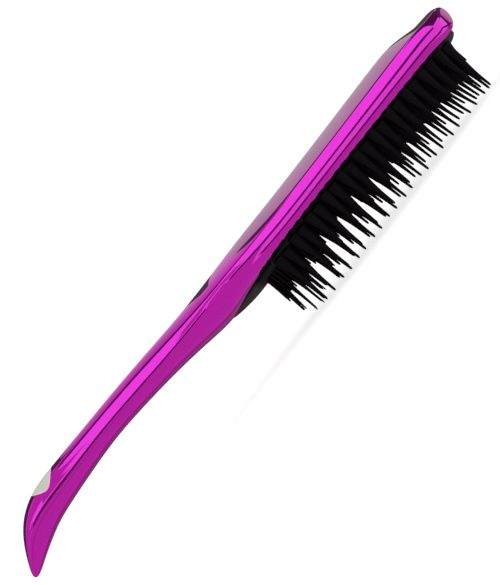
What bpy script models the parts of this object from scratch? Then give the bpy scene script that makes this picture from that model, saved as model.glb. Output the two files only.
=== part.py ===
"""A detangling hair brush: a hollow grip shell with a crowned pad of moulded bristles.

Metres, +Z up. The brush lies along X with its pointed tail at -X. The bristles point down,
and the tips of the middle row stand on Z = 0. The origin is under the middle of the brush.
"""

import math

import bmesh
import bpy
from mathutils.geometry import delaunay_2d_cdt

# Overall sizes
overall_length = 0.2348
body_depth = 0.0206  # from the crest of the pad to the highest point of the grip
head_width = 0.047
bristle_length = 0.0196  # from the crest of the pad to the tips of the middle row

# Walls and clearances
shell_wall = 0.0022
clearance = 0.0003
overrun = 0.004  # how far a cutter runs past what it cuts

# Pad
pad_crown = 0.0048  # how far the pad bulges below its own edge
pad_end_rise = 0.002  # how far each end of the pad turns up
pad_skin = 0.0015
pad_edge_wall = 0.0012
pad_edge_height = 0.0044
pad_border = 0.0019  # band round the field of bristles

# Bristles
slice_count = 12
slice_backing = 0.0013
long_tip = 0.00036
short_tip = 0.00026
short_length = 0.0088
tall_short_length = 0.0145  # the slim ones by the neck
root_spacing = 0.0001  # least gap between two roots
plan_tolerance = 1e-7  # points of a slice's plan this close are one

# Backing plate and its screws
plate_thickness = 0.0016
plate_boss_height = 0.0034
plate_boss_radius = 0.0036
shell_boss_radius = 0.0027
screw_head_radius = 0.0022
screw_head_height = 0.0011
screw_shank_radius = 0.0011
screw_end_cover = 0.002  # least plastic left past the end of a screw

# Grip cover, badge and the screw under the badge
slot_rim = 0.0027  # width of shell left beside the slot at the tail
cover_boss_radius = 0.0026
tongue_length = 0.005
tongue_thickness = 0.0012
badge_radius = 0.0059
badge_thickness = 0.001
badge_skirt = 0.0052  # from the crown of the badge down to its lowest edge
tail_screw_length = 0.0078

# Outlines, as shares of the overall length from the tail
half = 0.5
neck_start_share = 0.43
neck_end_share = 0.57
slot_start_share = 0.085
slot_end_share = 0.41
slot_width_share = 0.56  # of the grip's half width
slot_low_share = 0.45  # of the grip's depth, how far up the slot cut reaches
badge_place_share = 0.115
field_start_share = 0.5256
field_end_share = 0.96
first_slice_share = 0.5367  # where the first slice, a narrower one, starts
cavity_start_share = 0.03
cavity_end_share = 0.9905
badge_cut_start_share = 0.06
badge_cut_end_share = 0.2
point_inset_ratio = 2.4  # the pad's point is drawn in this many times as far along as across

# Height of the back's crest above the pad's crest, as shares of the body depth
crest_shares = (
    (0.000, 0.135), (0.003, 0.212), (0.009, 0.305), (0.027, 0.555), (0.045, 0.742),
    (0.063, 0.869), (0.087, 0.964), (0.115, 0.998), (0.159, 0.978), (0.224, 0.955),
    (0.296, 0.924), (0.367, 0.875), (0.428, 0.834), (0.474, 0.824), (0.560, 0.834),
    (0.649, 0.814), (0.756, 0.809), (0.883, 0.814), (0.905, 0.801), (0.922, 0.758),
    (0.939, 0.702), (0.957, 0.640), (0.971, 0.628), (0.983, 0.621), (0.992, 0.586),
    (0.997, 0.530), (1.000, 0.470),
)
# Height of the grip's belly and then of the head's rim
belly_shares = (
    (0.000, 0.097), (0.003, 0.068), (0.009, 0.073), (0.027, 0.141), (0.057, 0.250),
    (0.091, 0.347), (0.125, 0.381), (0.168, 0.410), (0.224, 0.439), (0.260, 0.415),
    (0.313, 0.362), (0.367, 0.286), (0.406, 0.214), (0.438, 0.141), (0.456, 0.107),
    (0.474, 0.114), (0.500, 0.170), (0.541, 0.238), (0.601, 0.306), (0.692, 0.301),
    (0.802, 0.282), (0.883, 0.257), (0.934, 0.223), (0.964, 0.175), (0.977, 0.160),
    (0.985, 0.185), (0.992, 0.245), (0.997, 0.325), (1.000, 0.400),
)
# Height of the crease between the head's back and its side
crease_shares = (
    (0.500, 0.660), (0.600, 0.655), (0.900, 0.650), (0.939, 0.640), (0.957, 0.612),
    (0.971, 0.590), (0.983, 0.575), (0.992, 0.540), (0.997, 0.500), (1.000, 0.450),
)
# Half width of the body, as shares of half the head's width
width_shares = (
    (0.000, 0.026), (0.003, 0.064), (0.009, 0.098), (0.027, 0.166), (0.049, 0.221),
    (0.074, 0.260), (0.108, 0.277), (0.159, 0.281), (0.227, 0.298), (0.296, 0.332),
    (0.355, 0.374), (0.406, 0.443), (0.445, 0.528), (0.479, 0.626), (0.517, 0.740),
    (0.555, 0.838), (0.598, 0.919), (0.653, 0.974), (0.734, 1.000), (0.819, 1.000),
    (0.875, 0.974), (0.913, 0.928), (0.943, 0.847), (0.966, 0.719), (0.981, 0.566),
    (0.991, 0.350), (0.997, 0.175), (1.000, 0.060),
)
# Half width of the pad, a teardrop with its point at the neck
pad_shares = (
    (0.466, 0.038), (0.472, 0.119), (0.483, 0.209), (0.500, 0.319), (0.517, 0.409),
    (0.538, 0.511), (0.560, 0.604), (0.585, 0.698), (0.619, 0.783), (0.670, 0.834),
    (0.739, 0.847), (0.819, 0.847), (0.875, 0.817), (0.909, 0.770), (0.934, 0.698),
    (0.956, 0.587), (0.970, 0.451), (0.978, 0.306), (0.982, 0.170),
)
# How far the pad's crest turns up, as shares of the end rise
pad_rise_shares = (
    (0.466, 1.00), (0.483, 0.55), (0.500, 0.22), (0.525, 0.00), (0.958, 0.00),
    (0.970, 0.18), (0.978, 0.55), (0.982, 1.00),
)
crown_power = 1.6

# Where the body has a cross section
station_shares = (
    0.000, 0.003, 0.009, 0.018, 0.030, 0.045, 0.063, 0.087, 0.115, 0.150, 0.190, 0.235,
    0.280, 0.325, 0.367, 0.406, 0.438, 0.460, 0.480, 0.500, 0.520, 0.541, 0.565, 0.601,
    0.653, 0.734, 0.819, 0.883, 0.905, 0.922, 0.939, 0.957, 0.971, 0.983, 0.9905, 0.995,
    0.998, 1.000,
)

# Cross sections from the crest outwards and down: the share of the half width, then the
# share of the height from the crease to the crest, or below it from the belly to the crease
grip_dome_shares = ((0.0, 1.0), (0.35, 0.91), (0.62, 0.70), (0.83, 0.38), (0.955, 0.0))
head_dome_shares = ((0.0, 1.0), (0.30, 0.92), (0.58, 0.65), (0.80, 0.29), (0.935, 0.0))
grip_side_shares = (
    (1.0, 0.775), (0.955, 0.55), (0.83, 0.341), (0.62, 0.167), (0.35, 0.05), (0.12, 0.005),
    (0.0, 0.0),
)
head_side_shares = (
    (0.985, 0.83), (1.0, 0.60), (0.985, 0.37), (0.945, 0.14), (0.885, 0.0), (0.4, 0.0),
    (0.0, 0.0),
)
grip_crease_share = 0.645
cross_shares = (-1.0, -0.75, -0.5, -0.25, 0.0, 0.25, 0.5, 0.75, 1.0)

# Bristles of one slice: share of the pitch along, share of the field's half width across
long_bristle_shares = ((0.75, 0.0), (0.28, 0.41), (0.28, -0.41), (0.72, 0.82), (0.72, -0.82))
short_column_shares = (
    (0.28, (0.0, 0.13, 0.25, 0.57, 0.70, 0.83, 0.93)),
    (0.73, (0.15, 0.28, 0.41, 0.54, 0.66)),
    (0.47, (0.0, 0.16, 0.60)),
)
tall_short_column = 2
tall_short_slices = 3
long_root_shares = (0.211, 0.0766)  # half a root's sides: of the pitch, of half the head's width
short_root_shares = (0.07, 0.0255)
lean_shares = ((0.03, -0.08), (0.07, -0.03), (0.13, -0.02), (0.25, 0.0), (1.0, 0.0))
long_taper_shares = ((0.26, 0.52), (0.54, 0.12), (1.0, 0.0))
short_taper_shares = ((1.0, 0.0),)

# Screws through the plate, as shares along and of the pad's half width
plate_screw_shares = ((0.640, 0.5), (0.640, -0.5), (0.860, 0.5), (0.860, -0.5))
round_sides = 14
square = ((-1, -1), (1, -1), (1, 1), (-1, 1))
sharp_angle = math.radians(35)

# Finishes: colour, roughness, metallic
plated_magenta = ((0.42, 0.012, 0.33, 1.0), 0.08, 1.0)
black_nylon = ((0.012, 0.012, 0.013, 1.0), 0.42, 0.0)
white_plastic = ((0.62, 0.62, 0.6, 1.0), 0.5, 0.0)
pale_badge = ((0.60, 0.62, 0.54, 1.0), 0.3, 0.0)
plain_steel = ((0.5, 0.5, 0.52, 1.0), 0.3, 1.0)


def curve_at(points, place):
    """Reads a smooth curve through the points, which never overshoots them."""
    if place <= points[0][0]:
        return points[0][1]
    if place >= points[-1][0]:
        return points[-1][1]
    last = len(points) - 1
    slopes = [
        (points[i + 1][1] - points[i][1]) / (points[i + 1][0] - points[i][0])
        for i in range(last)
    ]

    def tangent(i):
        if i in (0, last):
            return slopes[min(i, last - 1)]
        before, after = slopes[i - 1], slopes[i]
        return 0.0 if before * after <= 0 else 2 * before * after / (before + after)

    i = max(n for n in range(last) if points[n][0] <= place)
    width = points[i + 1][0] - points[i][0]
    t = (place - points[i][0]) / width
    return (
        points[i][1] * (2 * t**3 - 3 * t**2 + 1)
        + points[i + 1][1] * (3 * t**2 - 2 * t**3)
        + tangent(i) * width * (t**3 - 2 * t**2 + t)
        + tangent(i + 1) * width * (t**3 - t**2)
    )


def along(share):
    return (share - half) * overall_length


def share_of(x):
    return x / overall_length + half


def height(share):
    return bristle_length + share * body_depth


def crest_at(x):
    return height(curve_at(crest_shares, share_of(x)))


def belly_at(x):
    return height(curve_at(belly_shares, share_of(x)))


def half_width_at(x):
    return curve_at(width_shares, share_of(x)) * head_width / 2


def pad_half_width_at(x):
    return curve_at(pad_shares, share_of(x)) * head_width / 2


def pad_surface(x, y):
    """Height of the pad's outer surface, which is crowned across and turns up at both ends."""
    across = abs(y) / (pad_shares[10][1] * head_width / 2)
    rise = curve_at(pad_rise_shares, share_of(x)) * pad_end_rise
    return bristle_length + pad_crown * across**crown_power + rise


def mix(first, second, share):
    return first + (second - first) * share


def mesh_object(name, points, faces, parent):
    mesh = bpy.data.meshes.new(name)
    mesh.from_pydata(points, [], faces)
    mesh.update()
    thing = bpy.data.objects.new(name, mesh)
    bpy.context.scene.collection.objects.link(thing)
    thing.parent = parent
    return thing


def give_finish(thing, finish):
    colour, roughness, metallic = finish
    material = bpy.data.materials.new(thing.name)
    material.use_nodes = True
    shader = material.node_tree.nodes["Principled BSDF"]
    shader.inputs["Base Color"].default_value = colour
    shader.inputs["Roughness"].default_value = roughness
    shader.inputs["Metallic"].default_value = metallic
    material.diffuse_color = colour
    thing.data.materials.append(material)


def face_outwards(thing):
    """Turns every face out and shades the round ones smooth."""
    shape = bmesh.new()
    shape.from_mesh(thing.data)
    bmesh.ops.recalc_face_normals(shape, faces=shape.faces)
    shape.to_mesh(thing.data)
    shape.free()
    thing.data.shade_smooth()
    thing.data.set_sharp_from_angle(angle=sharp_angle)


def as_guide(thing):
    thing.hide_render = True
    thing.display_type = "WIRE"
    return thing


def combine(thing, other, operation):
    change = thing.modifiers.new(other.name, "BOOLEAN")
    change.operation = operation
    change.object = as_guide(other)


def section(x, inset):
    """The body's cross section at x, drawn in by the inset: a ring of points."""
    share = share_of(x)
    to_head = (share - neck_start_share) / (neck_end_share - neck_start_share)
    to_head = min(1.0, max(0.0, to_head))
    to_head = to_head * to_head * (3 - 2 * to_head)
    crest = crest_at(x) - inset
    belly = belly_at(x) + inset
    width = half_width_at(x) - inset
    grip_crease = mix(belly, crest, grip_crease_share)
    head_crease = height(curve_at(crease_shares, share)) - inset
    crease = mix(grip_crease, min(head_crease, crest), to_head)
    right = []
    for grip, head in zip(grip_dome_shares, head_dome_shares):
        across = mix(grip[0], head[0], to_head)
        right.append((across * width, mix(crease, crest, mix(grip[1], head[1], to_head))))
    for grip, head in zip(grip_side_shares, head_side_shares):
        across = mix(grip[0], head[0], to_head)
        right.append((across * width, mix(belly, crease, mix(grip[1], head[1], to_head))))
    left = [(-y, z) for y, z in reversed(right[1:-1])]
    return [(x, y, z) for y, z in right + left]


def body_loft(name, inset, first_share, last_share, parent):
    """The body drawn in by the inset, between two places along the brush."""
    inner = [s for s in station_shares if first_share < s < last_share]
    rings = [section(along(s), inset) for s in [first_share] + inner + [last_share]]
    count = len(rings[0])
    faces = [list(range(count)), [len(rings) * count - 1 - n for n in range(count)]]
    for r in range(len(rings) - 1):
        for n in range(count):
            m = (n + 1) % count
            faces.append((r * count + n, r * count + m, (r + 1) * count + m, (r + 1) * count + n))
    thing = mesh_object(name, [p for ring in rings for p in ring], faces, parent)
    face_outwards(thing)
    return thing


def pillow(name, rows, bottom, top, parent):
    """A closed sheet over a plan: rows of (x, half width), and its bottom and top heights."""
    points = []
    for surface in (bottom, top):
        for x, width in rows:
            points += [(x, s * width, surface(x, s * width)) for s in cross_shares]
    columns = len(cross_shares)
    layer = len(rows) * columns
    faces = []
    for r in range(len(rows) - 1):
        for c in range(columns - 1):
            a = r * columns + c
            low = (a, a + 1, a + columns + 1, a + columns)
            faces += [low, tuple(n + layer for n in reversed(low))]
    edge = [c for c in range(columns)]
    edge += [r * columns + columns - 1 for r in range(1, len(rows))]
    edge += [layer - 1 - c for c in range(1, columns)]
    edge += [r * columns for r in range(len(rows) - 2, 0, -1)]
    for n, a in enumerate(edge):
        b = edge[(n + 1) % len(edge)]
        faces.append((a, b, b + layer, a + layer))
    thing = mesh_object(name, points, faces, parent)
    face_outwards(thing)
    return thing


def pad_rows(inset):
    """Rows across the pad's plan, drawn in by the inset."""
    start = along(pad_shares[0][0]) + point_inset_ratio * inset
    end = along(pad_shares[-1][0]) - inset
    first, last = pad_shares[0][0], pad_shares[-1][0]
    rows = []
    for share, _ in pad_shares:
        x = mix(start, end, (share - first) / (last - first))
        nearest = max(pad_half_width_at(x), pad_half_width_at(along(first)) + max(inset, 0))
        rows.append((x, nearest - inset))
    return rows


def field_rows(start, end, inset):
    """Rows across the field of bristles, between two places along the brush."""
    inner = [along(share) for share, _ in pad_shares]
    places = [start] + [x for x in inner if start < x < end] + [end]
    return [(x, pad_half_width_at(x) - inset) for x in places]


def rod(name, centre, radius, bottom, top, parent):
    """An upright round bar."""
    x, y = centre
    turns = [math.tau * n / round_sides for n in range(round_sides)]
    ring = [(x + radius * math.cos(turn), y + radius * math.sin(turn)) for turn in turns]
    points = [(a, b, bottom) for a, b in ring] + [(a, b, top) for a, b in ring]
    faces = [list(range(round_sides)), [2 * round_sides - 1 - n for n in range(round_sides)]]
    for n in range(round_sides):
        m = (n + 1) % round_sides
        faces.append((n, m, m + round_sides, n + round_sides))
    thing = mesh_object(name, points, faces, parent)
    face_outwards(thing)
    return thing


def bore(name, centre, bottom, top, parent):
    """The clear hole round a screw's shank."""
    return rod(name, centre, screw_shank_radius + clearance, bottom, top, parent)


def screw(name, centre, seat, length, towards, parent):
    """A pan head screw. Its head lies before the seat and its shank runs up or down past it."""
    top = -towards * screw_head_height
    bar = rod(name, (0, 0), screw_shank_radius, top * half, towards * length, parent)
    head = rod(name + "_head", (0, 0), screw_head_radius, top, 0, parent)
    for piece in (bar, head):
        piece.location = (centre[0], centre[1], seat)
    combine(bar, head, "UNION")
    give_finish(bar, plain_steel)
    return bar


field_start = along(field_start_share)
field_end = along(field_end_share)
slice_pitch = (field_end - field_start) / slice_count
long_root, short_root = (
    (pitch_share * slice_pitch, width_share * head_width / 2)
    for pitch_share, width_share in (long_root_shares, short_root_shares)
)
badge_place = along(badge_place_share)
badge_centre = (badge_place, 0.0)


def slot_cut(name, inset, parent):
    """The cut along the grip's belly that takes the cover, drawn in by the inset."""
    start = along(slot_start_share) + inset
    end = along(slot_end_share) - inset
    places = [start] + [along(s) for s in station_shares if start < along(s) < end] + [end]
    length = end - start
    rows = []
    for x in places:
        rounding = math.sqrt(max(0.0, 1 - abs(2 * (x - start) / length - 1) ** 12))
        width = slot_width_share * half_width_at(x) - inset
        rows.append((x, width * mix(half, 1.0, rounding)))

    def reach(x, y):
        return mix(belly_at(x), crest_at(x), slot_low_share)

    return pillow(name, rows, lambda x, y: belly_at(x) - overrun, reach, parent)


def plate_screw_places():
    return [(along(a), across * pad_half_width_at(along(a))) for a, across in plate_screw_shares]


def plate_bottom(x, y):
    return pad_surface(x, y) + slice_backing + clearance + pad_skin + clearance


def plate_screw_seat(x, y):
    return plate_bottom(x, y) + screw_head_height + clearance


def plate_screw_end(x, y):
    return crest_at(x) - shell_wall - screw_end_cover


def make_shell(parent):
    """Grip and head back in one hollow moulding, with bosses for the screws."""
    shell = body_loft("back_shell", 0.0, 0.0, 1.0, parent)
    cavity = body_loft("cavity_cut", shell_wall, cavity_start_share, cavity_end_share, parent)
    combine(shell, cavity, "DIFFERENCE")
    slot = slot_cut("slot_cut", 0.0, parent)
    combine(shell, slot, "DIFFERENCE")

    def opening_top(x, y):
        return belly_at(x) + shell_wall + pad_edge_wall

    def opening_bottom(x, y):
        return bristle_length - overrun

    opening = pillow("opening_cut", pad_rows(-clearance), opening_bottom, opening_top, parent)
    combine(shell, opening, "DIFFERENCE")
    for n, centre in enumerate(plate_screw_places()):
        boss_bottom = plate_bottom(*centre) + plate_boss_height + clearance
        boss_top = crest_at(centre[0]) - shell_wall - pad_edge_wall * half
        name = f"shell_boss_{n + 1}"
        boss = rod(name, centre, shell_boss_radius, boss_bottom, boss_top, parent)
        combine(shell, boss, "UNION")
        pilot_top = plate_screw_end(*centre) + clearance
        pilot = bore(f"pilot_cut_{n + 1}", centre, boss_bottom - overrun, pilot_top, parent)
        combine(shell, pilot, "DIFFERENCE")
    ceiling = crest_at(badge_place) - shell_wall
    bottom = ceiling - shell_wall
    boss = rod("tail_boss", badge_centre, cover_boss_radius, bottom, ceiling + clearance, parent)
    combine(shell, boss, "UNION")
    combine(shell, badge_form("badge_cut", clearance, parent), "DIFFERENCE")
    seat = tail_screw_seat()
    wide = screw_head_radius + clearance
    recess = rod("head_cut", badge_centre, wide, seat - clearance, seat + overrun, parent)
    combine(shell, recess, "DIFFERENCE")
    hole = bore("tail_hole_cut", badge_centre, seat - overrun, seat + overrun, parent)
    combine(shell, hole, "DIFFERENCE")
    give_finish(shell, plated_magenta)
    return shell


def badge_form(name, margin, parent):
    """The inlaid disc: a round patch of the grip's own surface, grown by the margin."""
    crown = crest_at(badge_place)
    bottom = crown - badge_skirt - margin
    disc = rod(name, badge_centre, badge_radius + margin, bottom, crown + overrun, parent)
    core_inset = badge_thickness + margin
    core = body_loft(name + "_core", core_inset, badge_cut_start_share, badge_cut_end_share, parent)
    combine(disc, core, "DIFFERENCE")
    return disc


def make_badge(parent):
    badge = badge_form("badge_disc", 0.0, parent)
    skin = body_loft("badge_skin", 0.0, badge_cut_start_share, badge_cut_end_share, parent)
    combine(badge, skin, "INTERSECT")
    give_finish(badge, pale_badge)


def tail_screw_seat():
    """Where the head of the screw under the badge bears on the shell."""
    return crest_at(badge_place) - badge_thickness - 2 * clearance - screw_head_height


def make_cover(parent):
    """The strip that closes the grip's belly, with a tongue, a boss and a pilot hole."""
    start, end = slot_start_share, slot_end_share
    cover = body_loft("grip_cover", 0.0, start - clearance, end + clearance, parent)
    combine(cover, slot_cut("cover_form", clearance, parent), "INTERSECT")
    inside = body_loft("cover_inside_cut", shell_wall, cavity_start_share, neck_end_share, parent)
    combine(cover, inside, "DIFFERENCE")
    front = along(slot_end_share)
    floor = belly_at(front - tongue_length) + shell_wall - tongue_thickness * half
    width = slot_width_share * half_width_at(front - tongue_length) * half
    rows = [(front - 2 * tongue_length, width), (front + tongue_length, width)]
    top = floor + tongue_thickness

    def tongue_bottom(x, y):
        return belly_at(front - tongue_length) + shell_wall + clearance if x > front else floor

    tongue = pillow("tongue", rows, tongue_bottom, lambda x, y: top + tongue_thickness, parent)
    combine(cover, tongue, "UNION")
    seat = tail_screw_seat()
    boss_top = crest_at(badge_place) - 2 * shell_wall - clearance
    boss_bottom = belly_at(badge_place) + shell_wall * half
    boss = rod("cover_boss", badge_centre, cover_boss_radius, boss_bottom, boss_top, parent)
    combine(cover, boss, "UNION")
    pilot_bottom = seat - tail_screw_length - clearance
    pilot = bore("cover_pilot_cut", badge_centre, pilot_bottom, boss_top + overrun, parent)
    combine(cover, pilot, "DIFFERENCE")
    give_finish(cover, plated_magenta)


def make_pad(parent):
    """The flexible tub that carries the bristles and grips the plate's edge."""
    pad = pillow(
        "bristle_pad",
        pad_rows(0.0),
        pad_surface,
        lambda x, y: pad_surface(x, y) + pad_edge_height,
        parent,
    )
    inside = pillow(
        "pad_inside_cut",
        pad_rows(pad_edge_wall),
        lambda x, y: pad_surface(x, y) + slice_backing + clearance + pad_skin,
        lambda x, y: pad_surface(x, y) + pad_edge_height + overrun,
        parent,
    )
    combine(pad, inside, "DIFFERENCE")
    recess = pillow(
        "slice_recess_cut",
        field_rows(along(first_slice_share) - clearance, field_end + clearance, pad_border),
        lambda x, y: pad_surface(x, y) - overrun,
        lambda x, y: pad_surface(x, y) + slice_backing + clearance,
        parent,
    )
    combine(pad, recess, "DIFFERENCE")
    give_finish(pad, black_nylon)


def make_plate(parent):
    """The stiff plate behind the pad, with four raised screw seats."""
    plate = pillow(
        "backing_plate",
        pad_rows(pad_edge_wall + clearance),
        plate_bottom,
        lambda x, y: plate_bottom(x, y) + plate_thickness,
        parent,
    )
    for n, centre in enumerate(plate_screw_places()):
        floor = plate_bottom(*centre)
        top = floor + plate_boss_height
        bottom = floor + plate_thickness * half
        boss = rod(f"plate_boss_{n + 1}", centre, plate_boss_radius, bottom, top, parent)
        combine(plate, boss, "UNION")
        seat = plate_screw_seat(*centre)
        wide = screw_head_radius + clearance
        recess = rod(f"plate_recess_cut_{n + 1}", centre, wide, floor - overrun, seat + clearance, parent)
        combine(plate, recess, "DIFFERENCE")
        hole = bore(f"plate_hole_cut_{n + 1}", centre, floor, top + overrun, parent)
        combine(plate, hole, "DIFFERENCE")
        screw(f"plate_screw_{n + 1}", centre, seat, plate_screw_end(*centre) - seat, 1, parent)
    give_finish(plate, white_plastic)


def slice_ends(index):
    """The two ends of a slice's backing: (x, half width) at each."""
    start = along(first_slice_share) if index == 0 else field_start + index * slice_pitch
    end = field_start + (index + 1) * slice_pitch
    places = (start + clearance * half, end - clearance * half)
    return [(x, pad_half_width_at(x) - pad_border - clearance) for x in places]


def room_at(index, x, root):
    """How far from the middle a root can stand without leaving the slice's backing."""
    (start, first), (end, last) = slice_ends(index)
    near, far = ((place - start) / (end - start) for place in (x - root[0], x + root[0]))
    return min(mix(first, last, near), mix(first, last, far)) - root[1] - root_spacing


def apart(x, y, root, other):
    """Whether a root at x, y stands clear of another bristle's root."""
    clear_along = abs(x - other[0]) > root[0] + other[3][0] + root_spacing
    clear_across = abs(y - other[1]) > root[1] + other[3][1] + root_spacing
    return clear_along or clear_across


def bristles_of(index):
    """The bristles of one slice: (x, y, length, half root sides, half tip, taper)."""
    start = field_start + index * slice_pitch
    least = slice_ends(index)[0][0] + root_spacing
    found = []
    for share, across in long_bristle_shares:
        x = max(start + share * slice_pitch, least + long_root[0])
        room = room_at(index, x, long_root)
        y = across * (pad_half_width_at(x) - pad_border)
        found.append((x, min(room, max(-room, y)), bristle_length, long_root, long_tip, long_taper_shares))
    for column, (share, offsets) in enumerate(short_column_shares):
        tall = column == tall_short_column and index < tall_short_slices
        length = tall_short_length if tall else short_length
        x = max(start + share * slice_pitch, least + short_root[0])
        reach = pad_half_width_at(x) - pad_border
        for across in offsets:
            for side in (1, -1) if across else (1,):
                y = side * across * reach
                clear = all(apart(x, y, short_root, other) for other in found)
                if clear and abs(y) < room_at(index, x, short_root):
                    found.append((x, y, length, short_root, short_tip, short_taper_shares))
    return found


def make_slice(index, parent):
    """One slice of the bristle moulding: its backing and the bristles fused to it."""
    ends = slice_ends(index)
    middle = (ends[0][0] + ends[1][0]) / 2
    outline = []
    for sign, (x, width) in zip((-1, 1), ends):
        outline += [(x, sign * s * width) for s in cross_shares]
    bristles = bristles_of(index)
    plan = list(outline)
    rings = [tuple(range(len(outline)))]
    for x, y, _, root, _, _ in bristles:
        first = len(plan)
        plan += [(x + a * root[0], y + b * root[1]) for a, b in square]
        rings.append(tuple(range(first, first + 4)))
    found, _, triangles, sources, _, owners = delaunay_2d_cdt(plan, [], rings, 1, plan_tolerance)
    place_of = {}
    for n, origins in enumerate(sources):
        for origin in origins:
            place_of[origin] = n
    points = [(x, y, pad_surface(x, y)) for x, y in found]
    faces = [tuple(t) for t, o in zip(triangles, owners) if max(o) == 0]
    rim = [place_of[n] for n in rings[0]]
    upper = []
    for n in rim:
        upper.append(len(points))
        points.append((points[n][0], points[n][1], points[n][2] + slice_backing))
    for n, a in enumerate(rim):
        m = (n + 1) % len(rim)
        faces.append((a, rim[m], upper[m], upper[n]))
    columns = len(cross_shares)
    for n in range(columns - 1):
        faces.append((upper[n], upper[n + 1], upper[2 * columns - 2 - n], upper[2 * columns - 1 - n]))
    for ring, (x, y, length, root, tip, taper) in zip(rings[1:], bristles):
        level = [place_of[n] for n in ring]
        lean = curve_at(lean_shares, (x - field_start) / (field_end - field_start))
        for down, thick in taper:
            wide, deep = (mix(tip, side, thick) for side in root)
            z = pad_surface(x, y) - down * length
            shift = x + lean * length * down * down
            following = list(range(len(points), len(points) + 4))
            points += [(shift + a * wide, y + b * deep, z) for a, b in square]
            for n in range(4):
                m = (n + 1) % 4
                faces.append((level[n], level[m], following[m], following[n]))
            level = following
        faces.append(tuple(level))
    local = [(x - middle, y, z) for x, y, z in points]
    piece = mesh_object(f"bristle_slice_{index + 1:02d}", local, faces, parent)
    piece.location.x = middle
    face_outwards(piece)
    give_finish(piece, black_nylon)
    return len(bristles)


def make_brush():
    for thing in list(bpy.data.objects):
        bpy.data.objects.remove(thing)
    brush = bpy.data.objects.new("brush", None)
    bpy.context.scene.collection.objects.link(brush)
    make_shell(brush)
    make_cover(brush)
    make_badge(brush)
    screw("tail_screw", badge_centre, tail_screw_seat(), tail_screw_length, -1, brush)
    make_plate(brush)
    make_pad(brush)
    total = sum(make_slice(index, brush) for index in range(slice_count))
    print("bristles:", total)


make_brush()
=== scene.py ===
"""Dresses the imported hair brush: a plated grip and back, a pale disc, a black pad and its bristles.

Metres, +Z up. The brush lies along X with its pointed tail at -X, and stands on its bristles.
"""

import math
import random

import bmesh
import bpy
from mathutils import Matrix, Vector


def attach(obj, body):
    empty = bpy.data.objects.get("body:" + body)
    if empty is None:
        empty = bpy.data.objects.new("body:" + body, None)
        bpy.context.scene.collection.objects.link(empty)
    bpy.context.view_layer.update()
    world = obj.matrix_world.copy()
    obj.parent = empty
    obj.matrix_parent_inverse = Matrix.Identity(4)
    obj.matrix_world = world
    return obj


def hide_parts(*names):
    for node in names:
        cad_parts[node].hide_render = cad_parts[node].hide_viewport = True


# Overall sizes, the same as the solids'
overall_length = 0.2348
body_depth = 0.0206
head_width = 0.047
bristle_length = 0.0196
shell_wall = 0.0022
clearance = 0.0003
overrun = 0.004

# Pad
pad_crown = 0.0048
pad_end_rise = 0.002
pad_skin = 0.0031
pad_edge_wall = 0.0012
pad_edge_height = 0.0044
pad_border = 0.0019
pad_widest_share = 0.834
crown_power = 1.6
point_inset_ratio = 2.4
pad_across_shares = (1.0, 0.75, 0.5, 0.25, 0.0)

# Places along the brush, as shares of its length from the tail, and the sizes that go with them
half = 0.5
neck_start_share = 0.45
neck_end_share = 0.61
slot_start_share = 0.085
slot_end_share = 0.41
slot_width_share = 0.56
slot_top = 0.0322
slot_end_power = 12  # the higher, the squarer its ends
slot_ring_shares = (
    0, 0.006, 0.02, 0.05, 0.1, 0.2, 0.3, 0.4, 0.5, 0.6, 0.7, 0.8, 0.9, 0.95, 0.98, 0.994, 1,
)
cavity_start_share = 0.03
cavity_end_share = 0.9905
badge_place_share = 0.115
badge_cut_start_share = 0.05
badge_cut_end_share = 0.21
badge_radius = 0.0059
badge_thickness = 0.001
# Width of the rosy band painted round the disc's edge as a reflection of the plating
badge_painted_reflection_width = 0.0006
badge_skirt = 0.0052
badge_sides = 72
seam_gap = 0.00008  # finer than the solids' clearance, as the real pieces meet in a hairline
field_start_share = 0.5256
field_end_share = 0.96
first_slice_share = 0.5367
slice_count = 12
# How softly the pad's painted shade fades in at the ends of the bristle field
painted_shade_fade = 0.0012

# The outlines below give a share of the length from the tail, then a height or a width there.
# Height of the back's crest above the pad's crest, as shares of the body depth
crest_shares = (
    (0.000, 0.135), (0.003, 0.212), (0.009, 0.305), (0.027, 0.555), (0.045, 0.742),
    (0.063, 0.869), (0.087, 0.964), (0.115, 0.998), (0.159, 0.978), (0.224, 0.955),
    (0.296, 0.924), (0.367, 0.875), (0.428, 0.834), (0.474, 0.824), (0.560, 0.834),
    (0.649, 0.814), (0.756, 0.809), (0.883, 0.814), (0.905, 0.801), (0.922, 0.758),
    (0.939, 0.698), (0.957, 0.630), (0.971, 0.622), (0.983, 0.618), (0.992, 0.588),
    (0.997, 0.530), (1.000, 0.470),
)
# Height of the grip's belly and then of the head's rim, as shares of the body depth
belly_shares = (
    (0.000, 0.097), (0.003, 0.068), (0.009, 0.073), (0.027, 0.141), (0.057, 0.250),
    (0.091, 0.347), (0.125, 0.381), (0.168, 0.410), (0.224, 0.439), (0.260, 0.415),
    (0.313, 0.362), (0.367, 0.286), (0.406, 0.214), (0.438, 0.141), (0.456, 0.107),
    (0.474, 0.100), (0.500, 0.148), (0.541, 0.214), (0.601, 0.280), (0.692, 0.276),
    (0.802, 0.257), (0.883, 0.232), (0.934, 0.203), (0.964, 0.170), (0.977, 0.165),
    (0.985, 0.190), (0.992, 0.245), (0.997, 0.325), (1.000, 0.400),
)
# Where the grip and the neck are widest: the share of the height from belly to crest
widest_shares = (
    (0.000, 0.62), (0.030, 0.72), (0.045, 0.72), (0.070, 0.62), (0.107, 0.52),
    (0.150, 0.50), (0.300, 0.50), (0.367, 0.54), (0.406, 0.60), (0.456, 0.67),
    (0.500, 0.68), (0.560, 0.62), (1.000, 0.60),
)
# Height of the crease between the head's back and its side, as shares of the body depth
crease_shares = (
    (0.500, 0.660), (0.600, 0.655), (0.900, 0.650), (0.939, 0.645), (0.957, 0.632),
    (0.971, 0.615), (0.983, 0.600), (0.992, 0.570), (0.997, 0.520), (1.000, 0.450),
)
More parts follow.
